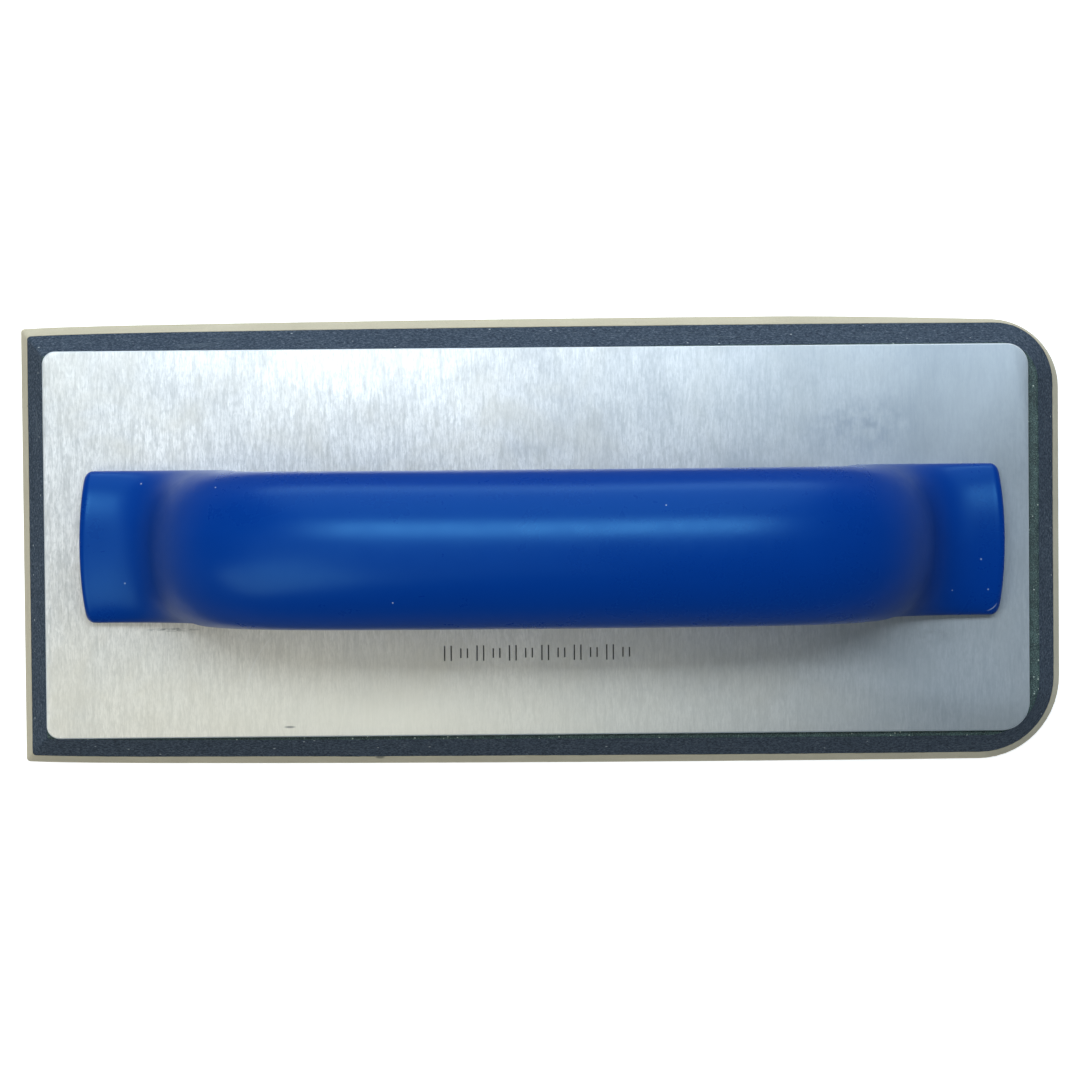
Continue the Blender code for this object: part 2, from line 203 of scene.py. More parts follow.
class Recipe:
    """Builds one node material. Every texture is laid out in the frame's metres."""

    def __init__(self, name):
        self.material = bpy.data.materials.new(name)
        self.material.use_nodes = True
        self.tree = self.material.node_tree
        self.shader = self.tree.nodes["Principled BSDF"]
        self.place = self.tree.nodes.new("ShaderNodeTexCoord").outputs["Object"]

    def add(self, kind, **settings):
        node = self.tree.nodes.new(kind)
        for key, value in settings.items():
            setattr(node, key, value)
        return node

    def plug(self, value, socket):
        """Join an output to socket, or set the socket to a plain value."""
        if isinstance(value, bpy.types.NodeSocket):
            self.tree.links.new(value, socket)
        else:
            socket.default_value = value

    def stretched(self, scale):
        mapping = self.add("ShaderNodeMapping")
        self.plug(self.place, mapping.inputs["Vector"])
        mapping.inputs["Scale"].default_value = scale
        return mapping.outputs["Vector"]

    def noise(self, size, detail=3.0, roughness=0.55, stretch=(1, 1, 1), distortion=0.0):
        """Noise with features about size across, along axes with stretch 1."""
        node = self.add("ShaderNodeTexNoise")
        self.plug(self.stretched([1 / s for s in stretch]), node.inputs["Vector"])
        node.inputs["Scale"].default_value = 1 / size
        node.inputs["Detail"].default_value = detail
        node.inputs["Roughness"].default_value = roughness
        node.inputs["Distortion"].default_value = distortion
        return node.outputs["Fac"]

    def specks(self, spacing, radius, share):
        """A mask of sparse round specks: only a share of the cells holds one."""
        cells = self.add("ShaderNodeTexVoronoi")
        self.plug(self.place, cells.inputs["Vector"])
        cells.inputs["Scale"].default_value = 1 / spacing
        reach = radius / spacing
        near = self.ramp(cells.outputs["Distance"], [(0.6 * reach, 1), (reach, 0)])
        cell_colour = self.add("ShaderNodeSeparateColor")
        self.plug(cells.outputs["Color"], cell_colour.inputs[0])
        chosen = self.math("LESS_THAN", cell_colour.outputs["Red"], share)
        return self.math("MULTIPLY", near, chosen)

    def components(self, vector):
        """The outputs that hold a vector's X, Y and Z."""
        node = self.add("ShaderNodeSeparateXYZ")
        self.plug(vector, node.inputs[0])
        return node.outputs

    def math(self, operation, first, second=0.0, third=0.0):
        node = self.add("ShaderNodeMath", operation=operation)
        self.plug(first, node.inputs[0])
        self.plug(second, node.inputs[1])
        self.plug(third, node.inputs[2])
        return node.outputs[0]

    def ramp(self, value, stops):
        """A grey for each value. stops are (value, grey)."""
        node = self.add("ShaderNodeValToRGB")
        self.plug(value, node.inputs[0])
        elements = node.color_ramp.elements
        while len(elements) < len(stops):
            elements.new(0.5)
        for element, (position, shade) in zip(elements, stops):
            element.position = position
            element.color = (shade, shade, shade, 1)
        return node.outputs[0]

    def mix(self, share, first, second):
        """The colour first where share is 0 and second where it is 1."""
        node = self.add("ShaderNodeMix", data_type="RGBA")
        self.plug(share, node.inputs["Factor"])
        for colour, index in ((first, COLOUR_A), (second, COLOUR_B)):
            is_socket = isinstance(colour, bpy.types.NodeSocket)
            self.plug(colour if is_socket else (*colour, 1), node.inputs[index])
        return node.outputs[COLOUR_RESULT]

    def stain(self, colour, mask, strength, shade):
        """colour, turned towards shade where mask is high."""
        return self.mix(self.math("MULTIPLY", mask, strength), colour, shade)

    def distance_to(self, centre, radii):
        """Distance from centre in units of radii, for one-off marks."""
        mapping = self.add("ShaderNodeMapping")
        self.plug(self.place, mapping.inputs["Vector"])
        mapping.inputs["Location"].default_value = [-c / r for c, r in zip(centre, radii)]
        mapping.inputs["Scale"].default_value = [1 / r for r in radii]
        length = self.add("ShaderNodeVectorMath", operation="LENGTH")
        self.plug(mapping.outputs["Vector"], length.inputs[0])
        return length.outputs["Value"]

    def patch(self, centre, radii, softness=0.6):
        """1 inside an ellipsoid round centre, fading to 0 at its edge."""
        return self.ramp(self.distance_to(centre, radii), [(1 - softness, 1), (1.0, 0)])

    def arc(self, centre, radius, line, window, reach):
        """A thin curved scratch: the part of a circle that lies within reach of window."""
        tall = 1.0  # in metres, so that height hardly counts
        ring = self.distance_to(centre, (radius, radius, tall))
        off = self.math("ABSOLUTE", self.math("SUBTRACT", ring, 1.0))
        thin = self.ramp(self.math("MULTIPLY", off, radius / line), [(0.4, 1), (1.0, 0)])
        return self.math("MULTIPLY", thin, self.patch(window, (reach, reach, reach), 0.5))

    def bump(self, height, distance, strength=1.0, before=None):
        """A normal roughened by height, on top of the normal given as before."""
        node = self.add("ShaderNodeBump")
        node.inputs["Strength"].default_value = strength
        node.inputs["Distance"].default_value = distance
        self.plug(height, node.inputs["Height"])
        if before is not None:
            self.plug(before, node.inputs["Normal"])
        return node.outputs["Normal"]

    def finish(self, **values):
        """Set or join the shader's sockets, named with _ for a space."""
        for key, value in values.items():
            self.plug(value, self.shader.inputs[key.replace("_", " ")])
        return self.material


def gum_rubber_material():
    m = Recipe("gum_rubber")
    cloud = m.noise(9 * MM, 4)
    fine = m.noise(0.5 * MM, 3)
    colour = m.mix(cloud, (0.50, 0.435, 0.305), (0.60, 0.535, 0.40))
    colour = m.mix(m.ramp(fine, [(0.35, 0.0), (0.75, 0.35)]), colour, (0.38, 0.34, 0.24))
    grime = m.specks(2.2 * MM, 0.22 * MM, 0.2)
    colour = m.stain(colour, grime, 0.6, (0.14, 0.12, 0.09))
    chip = m.patch((-38 * MM, -49.6 * MM, 4.6 * MM), (1.3 * MM, 1.6 * MM, 1.4 * MM), 0.5)
    colour = m.stain(colour, chip, 0.7, (0.08, 0.08, 0.07))
    knife = m.noise(0.16 * MM, 2, stretch=(40, 40, 1))
    normal = m.bump(knife, 0.03 * MM, 0.5)
    normal = m.bump(fine, 0.04 * MM, 0.5, normal)
    rough = m.ramp(cloud, [(0.2, 0.62), (0.8, 0.82)])
    return m.finish(Base_Color=colour, Roughness=rough, Normal=normal, Specular_IOR_Level=0.35)


def sponge_material():
    m = Recipe("sponge_rubber")
    cells = m.add("ShaderNodeTexVoronoi")
    m.plug(m.place, cells.inputs["Vector"])
    cells.inputs["Scale"].default_value = 1 / (0.42 * MM)
    pores = m.ramp(cells.outputs["Distance"], [(0.1, 0.0), (0.6, 1.0)])
    cloud = m.noise(14 * MM, 4)
    grit = m.noise(0.62 * MM, 4, 0.75)
    colour = m.mix(cloud, (0.039, 0.057, 0.086), (0.053, 0.074, 0.105))
    colour = m.mix(m.ramp(grit, [(0.40, 0.85), (0.52, 0.0)]), colour, (0.014, 0.024, 0.040))
    colour = m.mix(m.ramp(grit, [(0.54, 0.0), (0.68, 0.60)]), colour, (0.165, 0.200, 0.240))
    dust = m.specks(2.4 * MM, 0.30 * MM, 0.16)
    colour = m.stain(colour, dust, 0.8, (0.42, 0.46, 0.48))
    scuff = m.ramp(m.noise(2.4 * MM, 3, stretch=(7, 7, 0.5)), [(0.60, 0.0), (0.74, 0.4)])
    colour = m.mix(scuff, colour, (0.115, 0.145, 0.170))
    fleck = m.patch((-52.6 * MM, 47.5 * MM, 12 * MM), (1.4 * MM, 0.75 * MM, 1.3 * MM), 0.5)
    colour = m.stain(colour, fleck, 0.9, (0.52, 0.55, 0.62))
    normal = m.bump(pores, 0.10 * MM, 0.55)
    normal = m.bump(grit, 0.08 * MM, 0.6, normal)
    return m.finish(Base_Color=colour, Roughness=0.9, Normal=normal, Specular_IOR_Level=0.2)


def cement_material():
    m = Recipe("rubber_cement")
    streak = m.noise(1.5 * MM, 3, stretch=(5, 5, 0.4))
    colour = m.mix(streak, (0.035, 0.036, 0.036), (0.10, 0.095, 0.075))
    normal = m.bump(streak, 0.05 * MM, 0.4)
    return m.finish(Base_Color=colour, Roughness=0.6, Normal=normal, Specular_IOR_Level=0.3)


def green_film_material():
    m = Recipe("green_adhesive")
    grit = m.noise(0.30 * MM, 4, 0.75)
    patches = m.noise(2.6 * MM, 4, 0.6)
    thin = m.ramp(patches, [(0.35, 0.0), (0.65, 1.0)])
    colour = m.mix(thin, (0.020, 0.044, 0.046), (0.062, 0.112, 0.105))
    colour = m.mix(m.ramp(grit, [(0.42, 0.85), (0.52, 0.0)]), colour, (0.006, 0.014, 0.014))
    colour = m.mix(m.ramp(grit, [(0.55, 0.0), (0.66, 0.8)]), colour, (0.22, 0.30, 0.24))
    grains = m.specks(1.1 * MM, 0.20 * MM, 0.28)
    colour = m.stain(colour, grains, 0.85, (0.55, 0.62, 0.55))
    normal = m.bump(grit, 0.10 * MM, 0.8)
    return m.finish(Base_Color=colour, Roughness=0.55, Normal=normal, Specular_IOR_Level=0.45)


def plate_tones(m, streak, broad, cloud, along):
    """Brushed metal with cloudy tarnish. Painted shade darkens it towards +X, most of all in the
    back corner there, and a painted pool of warm light brightens it along the front."""
    fine = m.ramp(streak, [(0.34, 0.0), (0.66, 1.0)])
    colour = m.mix(fine, (0.61, 0.61, 0.605), (0.83, 0.825, 0.815))
    colour = m.mix(m.ramp(broad, [(0.36, 0.5), (0.54, 0.0)]), colour, (0.40, 0.41, 0.41))
    mottle = m.noise(0.55 * MM, 3, 0.7, stretch=(1, 2.4, 1))
    colour = m.mix(m.ramp(mottle, [(0.38, 0.34), (0.52, 0.0)]), colour, (0.38, 0.39, 0.395))
    tarnish = m.ramp(cloud, [(0.48, 0.0), (0.72, 0.25)])
    colour = m.mix(tarnish, colour, (0.47, 0.49, 0.52))
    warm = m.ramp(m.noise(17 * MM, 4, 0.6, distortion=0.5), [(0.46, 0.0), (0.66, 0.38)])
    colour = m.mix(warm, colour, (0.55, 0.525, 0.465))
    # Painted shade: the plate darkens and cools towards +X, broken up by the cloud.
    reach = m.math("MULTIPLY_ADD", along, 1 / (240 * MM), 0.5)
    reach = m.math("ADD", reach, m.math("MULTIPLY_ADD", cloud, 0.3, -0.15))
    painted_shade_end = m.ramp(reach, [(0.46, 0.0), (0.87, 0.72)])
    colour = m.mix(painted_shade_end, colour, (0.30, 0.35, 0.40))
    # Painted light: a warm pale pool along the front, towards -X.
    painted_light_front = m.patch((-34 * MM, -40 * MM, PLATE_TOP), (125 * MM, 34 * MM, 30 * MM), 0.95)
    colour = m.stain(colour, painted_light_front, 0.80, (0.98, 0.94, 0.82))
    # Painted shade: a cooler, darker patch in the back corner at +X.
    painted_cool_shade = m.patch((92 * MM, 46 * MM, PLATE_TOP), (95 * MM, 62 * MM, 60 * MM), 0.95)
    return m.stain(colour, painted_cool_shade, 0.62, (0.25, 0.295, 0.335))


def plate_marks(m, colour, smudge, broken):
    """The plate's smudge, scuff, nick, painted shadow by the handle's right foot and curved
    scratch, in that order.
    """
    colour = m.stain(colour, smudge, 0.35, (0.30, 0.36, 0.44))
    scuff = m.patch((-84.4 * MM, -18.9 * MM, PLATE_TOP), (6.5 * MM, 0.5 * MM, 3 * MM), 0.5)
    grit = m.ramp(m.noise(0.5 * MM, 3, stretch=(4, 1, 1)), [(0.42, 0.0), (0.58, 1.0)])
    colour = m.stain(colour, m.math("MULTIPLY", scuff, grit), 0.75, (0.13, 0.15, 0.16))
    nick = m.patch((-58.0 * MM, -41.4 * MM, PLATE_TOP), (1.5 * MM, 0.32 * MM, 3 * MM), 0.6)
    colour = m.stain(colour, nick, 0.7, (0.12, 0.13, 0.14))
    # Painted shadow of the handle on the plate, just in front of its right foot, broken up by
    # noise.
    painted_handle_shadow = m.patch((88 * MM, -21 * MM, PLATE_TOP), (9 * MM, 3.5 * MM, 4 * MM), 0.9)
    painted_handle_shadow = m.math("MULTIPLY", painted_handle_shadow, broken)
    colour = m.stain(colour, painted_handle_shadow, 0.4, (0.22, 0.24, 0.25))
    scratch = m.arc(
        (-46 * MM, -36 * MM, PLATE_TOP),
        radius=22 * MM,
        line=0.16 * MM,
        window=(-65 * MM, -26 * MM, PLATE_TOP),
        reach=8 * MM,
    )
    return m.stain(colour, scratch, 0.45, (0.88, 0.88, 0.86))


def aluminium_material():
    m = Recipe("aluminium_plate")
    streak = m.noise(0.26 * MM, 4, 0.65, stretch=(1, 8, 1))
    broad = m.noise(0.9 * MM, 4, 0.65, stretch=(1, 7, 1))
    cloud = m.noise(26 * MM, 5, 0.6, distortion=0.4)
    point = m.components(m.place)
    colour = plate_tones(m, streak, broad, cloud, point["X"])

    broken = m.ramp(m.noise(3.4 * MM, 4, 0.7), [(0.40, 0.0), (0.62, 1.0)])
    smudge = m.patch((73 * MM, 26 * MM, PLATE_TOP), (16 * MM, 9 * MM, 9 * MM), 0.9)
    smudge = m.math("MULTIPLY", smudge, broken)
    colour = plate_marks(m, colour, smudge, broken)

    # The stamped strokes are darkened inside with painted shade. The rounded edge gets a pale
    # painted highlight, found by its slope, and the strokes' sloping walls are kept out of it.
    row_middle = (*TICK_CENTRE, PLATE_TOP)
    stamped_row = m.patch(row_middle, (36 * MM, 4 * MM, 0.6 * MM), 0.3)
    groove_shade_mask = m.math("LESS_THAN", point["Z"], PLATE_TOP - 0.04 * MM)
    colour = m.mix(m.math("MULTIPLY", groove_shade_mask, stamped_row), colour, (0.19, 0.19, 0.18))
    upward = m.components(m.add("ShaderNodeNewGeometry").outputs["Normal"])["Z"]
    painted_edge_highlight = m.ramp(upward, [(0.90, 0.85), (0.985, 0.0)])
    painted_edge_highlight = m.math("MULTIPLY", painted_edge_highlight, m.math("SUBTRACT", 1.0, stamped_row))
    colour = m.mix(painted_edge_highlight, colour, (0.90, 0.93, 0.95))

    rough = m.math("MULTIPLY_ADD", streak, 0.10, 0.43)
    rough = m.math("ADD", rough, m.ramp(cloud, [(0.45, 0.0), (0.75, 0.07)]))
    rough = m.math("ADD", rough, m.math("MULTIPLY", smudge, 0.12))
    normal = m.bump(streak, 0.010 * MM, 0.55)
    normal = m.bump(broad, 0.012 * MM, 0.35, normal)
    tangent = m.add("ShaderNodeTangent", direction_type="UV_MAP", uv_map="grain").outputs[0]
    return m.finish(
        Base_Color=colour,
        Metallic=0.75,
        Roughness=rough,
        Normal=normal,
        Tangent=tangent,
        Anisotropic=0.5,
    )


# Pale flecks on the handle's feet, in millimetres, with z from the plate's top.
HANDLE_FLECKS = (
    (100.9, -11.1, 7.0),
    (99.2, -4.2, 7.2),
    (92.6, -11.2, 8.8),
    (94.1, -15.9, 7.6),
    (-86.4, -6.8, 22.0),
    (-94.4, -7.9, 8.2),
)


def handle_material():
    m = Recipe("handle_plastic")
    swirl = m.noise(16 * MM, 4, 0.6, stretch=(2.5, 1, 1), distortion=0.8)
    peel = m.noise(0.8 * MM, 2, 0.5)
    colour = m.mix(swirl, (0.0, 0.030, 0.232), (0.0, 0.036, 0.262))
    dust = m.specks(6.5 * MM, 0.20 * MM, 0.10)
    colour = m.stain(colour, dust, 0.75, (0.55, 0.62, 0.72))
    pit_place = (-85.0 * MM, 10.9 * MM, PLATE_TOP + 26.8 * MM)
    pit = m.patch(pit_place, (0.45 * MM, 0.4 * MM, 1.6 * MM), 0.4)
    colour = m.stain(colour, pit, 0.9, (0.0, 0.004, 0.05))
    for x, y, z in HANDLE_FLECKS:
        place = (x * MM, y * MM, PLATE_TOP + z * MM)
        fleck = m.patch(place, (0.26 * MM, 0.26 * MM, 2.4 * MM), 0.5)
        colour = m.stain(colour, fleck, 0.55, (0.45, 0.56, 0.72))
    foot_top = PLATE_TOP + 6 * MM
    scrape = m.arc(
        (99.9 * MM, -12.6 * MM, foot_top),
        radius=3.6 * MM,
        line=0.16 * MM,
        window=(101.9 * MM, -15.6 * MM, foot_top),
        reach=2.2 * MM,
    )
    colour = m.stain(colour, scrape, 0.75, (0.62, 0.70, 0.80))
    rough = m.math("MULTIPLY_ADD", swirl, 0.05, 0.25)
    matt = m.ramp(m.noise(5 * MM, 4, 0.7), [(0.45, 0.0), (0.75, 0.05)])
    rough = m.math("ADD", rough, matt)
    for leg_x in (-84 * MM, 84 * MM):
        leg_middle = (leg_x, 0, PLATE_TOP + 22 * MM)
        rubbed_leg = m.patch(leg_middle, (17 * MM, 34 * MM, 30 * MM), 0.6)
        rough = m.math("ADD", rough, m.math("MULTIPLY", rubbed_leg, 0.26))
    normal = m.bump(peel, 0.012 * MM, 0.18)
    return m.finish(
        Base_Color=colour,
        Roughness=rough,
        Normal=normal,
        Specular_IOR_Level=0.5,
        Specular_Tint=(0.17, 0.62, 1.0, 1),
    )


def zinc_material():
    m = Recipe("screw_zinc")
    cloud = m.noise(1.5 * MM, 4)
    colour = m.mix(cloud, (0.48, 0.48, 0.46), (0.66, 0.66, 0.66))
    rough = m.math("MULTIPLY_ADD", cloud, 0.2, 0.24)
    normal = m.bump(m.noise(0.2 * MM, 3), 0.01 * MM, 0.4)
    return m.finish(Base_Color=colour, Metallic=1.0, Roughness=rough, Normal=normal)


def floor_material():
    m = Recipe("pale_floor_painted_glow")
    tone = m.noise(0.5, 2)
    colour = m.mix(tone, (0.91, 0.91, 0.91), (0.92, 0.92, 0.92))
    # Painted light: the floor glows, brightest in a pool round the tool and fading outwards.
    glow_reach = 0.4
    distance = m.distance_to((0, 0, 0), (glow_reach, glow_reach, glow_reach))
    painted_glow = m.ramp(distance, [(0.42, 0.50), (0.72, 0.10)])
    return m.finish(
        Base_Color=colour,
        Roughness=0.9,
        Specular_IOR_Level=0.1,
        Emission_Color=painted_glow,
        Emission_Strength=1.0,
    )


# ---- the pad ------------------------------------------------------------------------


def build_gum():
    edge = 0.35 * MM
    edge_steps = 4
    rings = []
    for step in range(edge_steps + 1):
        angle = math.radians(90) * step / edge_steps
        z = edge * (1 - math.cos(angle))
        rings.append(pad_ring(z, bevel_inset(z) + edge * (1 - math.sin(angle))))
    side_levels = 9
    for step in range(1, side_levels + 1):
        z = edge + (GUM_TOP - edge) * step / side_levels
        rings.append(pad_ring(z, bevel_inset(z), wave=0.10 * MM, grain=0.04 * MM, seed=1.5))
    return piece_from_bmesh(skin(rings), "gum_face", 40)


def build_cement():
    low = GUM_TOP - 0.12 * MM
    high = GUM_TOP + 0.13 * MM
    recess = 0.10 * MM
    rings = []
    for z, inset in ((low, bevel_inset(low) + recess), (high, bevel_inset(high) + recess)):
        rings.append(pad_ring(z, inset, wave=0.12 * MM, grain=0.10 * MM, seed=4.0))
    return piece_from_bmesh(skin(rings), "cement_line", 40)


def build_foam():
    levels = 13
    foot = 0.12 * MM
    low = GUM_TOP + 0.02 * MM
    rings = [pad_ring(low, bevel_inset(low) + 0.18 * MM, wave=0.1 * MM, grain=0.05 * MM, seed=9.0)]
    for step in range(levels + 1):
        z = low + foot + (FOAM_TOP - low - foot) * step / levels
        rings.append(pad_ring(z, bevel_inset(z), wave=0.22 * MM, grain=0.16 * MM, seed=9.0))
    rings.append(pad_ring(FOAM_TOP, PAD_BEVEL + 0.5 * MM, grain=0.1 * MM, seed=9.0))
    return piece_from_bmesh(skin(rings), "sponge_core", 50)


def build_green_film():
    low = FOAM_TOP + 0.01 * MM
    top = PLATE_BOTTOM - 0.05 * MM
    rim_inset = PAD_BEVEL + 0.12 * MM
    ring_spacing = 0.42 * MM
    ragged = {"wave": 0.25 * MM, "grain": 0.22 * MM, "seed": 13.0}
    rings = [pad_ring(low, PAD_BEVEL, **ragged)]
    rings.append(pad_ring((low + top) / 2, PAD_BEVEL - 0.02 * MM, **ragged))
    for step in range(9):
        inset = rim_inset + ring_spacing * step
        rings.append(pad_ring(top - 0.06 * MM, inset, lift=0.09 * MM, **ragged))
    return piece_from_bmesh(skin(rings), "green_bond", 60)


# ---- the plate ----------------------------------------------------------------------


def groove_cutter(centre_x, centre_y, width, length, depth):
    """A V-shaped cutter along Y, as wide as width where it meets the plate's top."""
    rise = 0.2 * MM
    half_width = width / 2 * (depth + rise) / depth
    bm = bmesh.new()
    ends = []
    for y in (centre_y - length / 2, centre_y + length / 2):
        section = ((-half_width, rise), (0, -depth), (half_width, rise))
        ends.append([bm.verts.new((centre_x + x, y, PLATE_TOP + z)) for x, z in section])
    near, far = ends
    bm.faces.new(near)
    bm.faces.new(far[::-1])
    for i in range(3):
        j = (i + 1) % 3
        bm.faces.new((near[j], near[i], far[i], far[j]))
    return bm


def join_cutters(cutters, name):
    """One object from several bmeshes that don't touch."""
    mesh = bpy.data.meshes.new(name)
    joined = bmesh.new()
    for bm in cutters:
        part = bpy.data.meshes.new("part")
        bm.to_mesh(part)
        bm.free()
        joined.from_mesh(part)
        bpy.data.meshes.remove(part)
    bmesh.ops.recalc_face_normals(joined, faces=joined.faces)
    joined.to_mesh(mesh)
    joined.free()
    cutter = bpy.data.objects.new(name, mesh)
    bpy.context.scene.collection.objects.link(cutter)
    return cutter


def stamped_ticks():
    """A plain stamped border below the grip: pairs of strokes, alternately long and short."""
    pairs = 12
    pitch = 3.7 * MM
    width = 0.36 * MM
    depth = 0.2 * MM
    middle_x, middle_y = TICK_CENTRE
    ticks = []
    for index in range(pairs):
        length = 3.5 * MM if index % 2 == 0 else 2.2 * MM
        for side in (-0.75 * MM, 0.75 * MM):
            x = middle_x + (index - (pairs - 1) / 2) * pitch + side
            ticks.append(groove_cutter(x, middle_y, width, length, depth))
    return ticks


def screw_hole_cutters():
    """One countersunk hole through the plate for each screw, wider beneath."""
    cutters = []
    for number in range(1, 5):
        low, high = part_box(f"handle_screw_{number}")
        bm = bmesh.new()
        thickness = PLATE_TOP - PLATE_BOTTOM
        bmesh.ops.create_cone(
            bm,
            cap_ends=True,
            segments=40,
            radius1=4.1 * MM,
            radius2=2.1 * MM,
            depth=thickness * 1.2,
        )
        centre = ((low.x + high.x) / 2, (low.y + high.y) / 2, PLATE_BOTTOM + thickness * 0.5)
        bmesh.ops.translate(bm, vec=centre, verts=bm.verts)
        cutters.append(bm)
    return cutters


def build_plate():
    half_length = (plate_high.x - plate_low.x) / 2
    half_width = (plate_high.y - plate_low.y) / 2
    steps = 5
    thickness = PLATE_TOP - PLATE_BOTTOM
    profile = []
    for step in range(steps + 1):
        angle = math.radians(90) * step / steps
        profile.append((PLATE_EDGE * (1 - math.sin(angle)), PLATE_EDGE * (1 - math.cos(angle))))
    for step in range(steps + 1):
        angle = math.radians(90) * step / steps
        height = thickness - PLATE_EDGE * (1 - math.sin(angle))
        profile.append((PLATE_EDGE * (1 - math.cos(angle)), height))
    middle_x, middle_y = PLATE_CENTRE
    rings = []
    for inset, height in profile:
        trimmed = [max(radius - inset, 0.5 * MM) for radius in PLATE_CORNERS]
        points = rounded_rectangle(half_length - inset, half_width - inset, trimmed, 14, 60, 30)
        rings.append([(x + middle_x, y + middle_y, PLATE_BOTTOM + height) for x, y in points])
    plate = piece_from_bmesh(skin(rings), "brushed_plate", 50)
    cutter = join_cutters(stamped_ticks() + screw_hole_cutters(), "plate_cutter")
    boolean = plate.modifiers.new("marks", "BOOLEAN")
    boolean.operation = "DIFFERENCE"
    boolean.solver = "EXACT"
    boolean.object = cutter
    apply_modifiers(plate)
    bpy.data.objects.remove(cutter, do_unlink=True)
    plate.data.shade_smooth()
    plate.data.set_sharp_from_angle(angle=math.radians(35))
    uv_per_metre = 4
    grain = plate.data.uv_layers.new(name="grain")
    for loop in plate.data.loops:
        point = plate.data.vertices[loop.vertex_index].co
        grain.data[loop.index].uv = (point.x * uv_per_metre, point.y * uv_per_metre)
    return plate


# ---- the handle ---------------------------------------------------------------------

# Half of the side view, as in the frame: (x, z) outside, (x, z) inside, in millimetres
# with z from the plate's top, then how square the section is above and below.
HANDLE_STATIONS = [
    ((0.0, 56.0), (0.0, 29.0), 2.15, 2.2),
    ((16.0, 55.7), (16.0, 29.0), 2.15, 2.2),
    ((31.0, 54.7), (31.0, 28.8), 2.15, 2.2),
    ((45.0, 52.9), (43.5, 28.2), 2.15, 2.2),
    ((57.0, 50.2), (51.5, 26.8), 2.15, 2.25),
    ((66.5, 46.9), (57.5, 23.6), 2.15, 2.3),
    ((74.0, 42.9), (61.5, 19.0), 2.15, 2.5),
    ((79.8, 37.8), (64.0, 13.5), 2.15, 3.0),
    ((83.6, 31.2), (65.4, 7.5), 2.15, 4.0),
    ((85.9, 24.0), (66.2, 1.8), 2.15, 6.0),
    ((87.4, 17.3), (71.0, -1.5), 2.15, 10.0),
    ((89.2, 12.0), (79.0, -1.5), 2.15, 12.0),
    ((92.6, 8.8), (87.5, -1.5), 2.15, 12.0),
    ((98.0, 7.4), (96.6, -1.5), 2.15, 12.0),
    ((103.0, 6.7), (103.0, -1.5), 2.15, 12.0),
]
HANDLE_END_X = 104.8  # in millimetres, like the stations
BULGE_START_X = 86.0  # in millimetres, where the ends start to be rounded in plan
HANDLE_HALF_WIDTH = 17.25 * MM
HANDLE_END_RADIUS = 110 * MM
# Scales the stations' heights so that the grip is as high as the frame's.
HANDLE_FIT = (handle_high.z - PLATE_TOP) / (HANDLE_STATIONS[0][0][1] * MM)
SECTION_POINTS = 120
RINGS_PER_STATION = 8


def natural_spline(knots, values, samples):
    """A smooth curve through values at knots, read at samples."""
    count = len(knots)
    step = np.diff(knots)
    matrix = np.eye(count)
    right = np.zeros(count)
    for i in range(1, count - 1):
        matrix[i, i - 1] = step[i - 1]
        matrix[i, i] = 2 * (step[i - 1] + step[i])
        matrix[i, i + 1] = step[i]
        rise_after = (values[i + 1] - values[i]) / step[i]
        rise_before = (values[i] - values[i - 1]) / step[i - 1]
        right[i] = 6 * (rise_after - rise_before)
    curvature = np.linalg.solve(matrix, right)
    index = np.clip(np.searchsorted(knots, samples) - 1, 0, count - 2)
    before = samples - knots[index]
    after = knots[index + 1] - samples
    width = step[index]
    start = values[index] / width - curvature[index] * width / 6
    end = values[index + 1] / width - curvature[index + 1] * width / 6
    cubic = (curvature[index] * after**3 + curvature[index + 1] * before**3) / (6 * width)
    return cubic + start * after + end * before


def handle_rows():
    """The stations of both halves, joined and smoothed."""
    stations = [(*outer, *inner, above, below) for outer, inner, above, below in HANDLE_STATIONS]
    half = np.array(stations)
    mirrored = half[:0:-1] * np.array([-1, 1, -1, 1, 1, 1])
    rows = np.vstack([mirrored, half])
    moves = np.diff(rows[:, :4], axis=0)
    lengths = 0.5 * (np.hypot(moves[:, 0], moves[:, 1]) + np.hypot(moves[:, 2], moves[:, 3]))
    knots = np.concatenate([[0.0], np.cumsum(lengths)])
    samples = []
    for start, end in zip(knots, knots[1:]):
        samples.extend(np.linspace(start, end, RINGS_PER_STATION, endpoint=False))
    samples.append(knots[-1])
    samples = np.array(samples)
    return np.stack([natural_spline(knots, column, samples) for column in rows.T], axis=1)


def handle_ring(row, narrowing=0.0, lowering=0.0, push=0.0):
    """One section. narrowing and lowering, in metres, shrink it; push moves it outwards."""
    outer_x, outer_z, inner_x, inner_z, above, below = row
    half_width = HANDLE_HALF_WIDTH - narrowing
    outer_z -= lowering / MM
    middle_x = (outer_x + inner_x) / 2
    middle_z = (outer_z + inner_z) / 2
    reach_x = (outer_x - inner_x) / 2
    reach_z = (outer_z - inner_z) / 2
    end = math.copysign(1, outer_x)
    bulge_share = max(0.0, (abs(outer_x) - BULGE_START_X) / (HANDLE_END_X - BULGE_START_X))
    ring = []
    for step in range(SECTION_POINTS):
        angle = 2 * math.pi * (step + 0.5) / SECTION_POINTS
        squareness = above if math.sin(angle) > 0 else below
        across = math.copysign(abs(math.cos(angle)) ** (2 / squareness), math.cos(angle))
        through = math.copysign(abs(math.sin(angle)) ** (2 / squareness), math.sin(angle))
        y = half_width * across
        bulge = HANDLE_END_RADIUS - math.sqrt(HANDLE_END_RADIUS**2 - y**2)
        x = (middle_x + reach_x * through) * MM + end * (push - bulge * bulge_share)
        z = max((middle_z + reach_z * through) * MM * HANDLE_FIT, 0.02 * MM)
        ring.append((x + HANDLE_CENTRE[0], y + HANDLE_CENTRE[1], z + PLATE_TOP))
    return ring


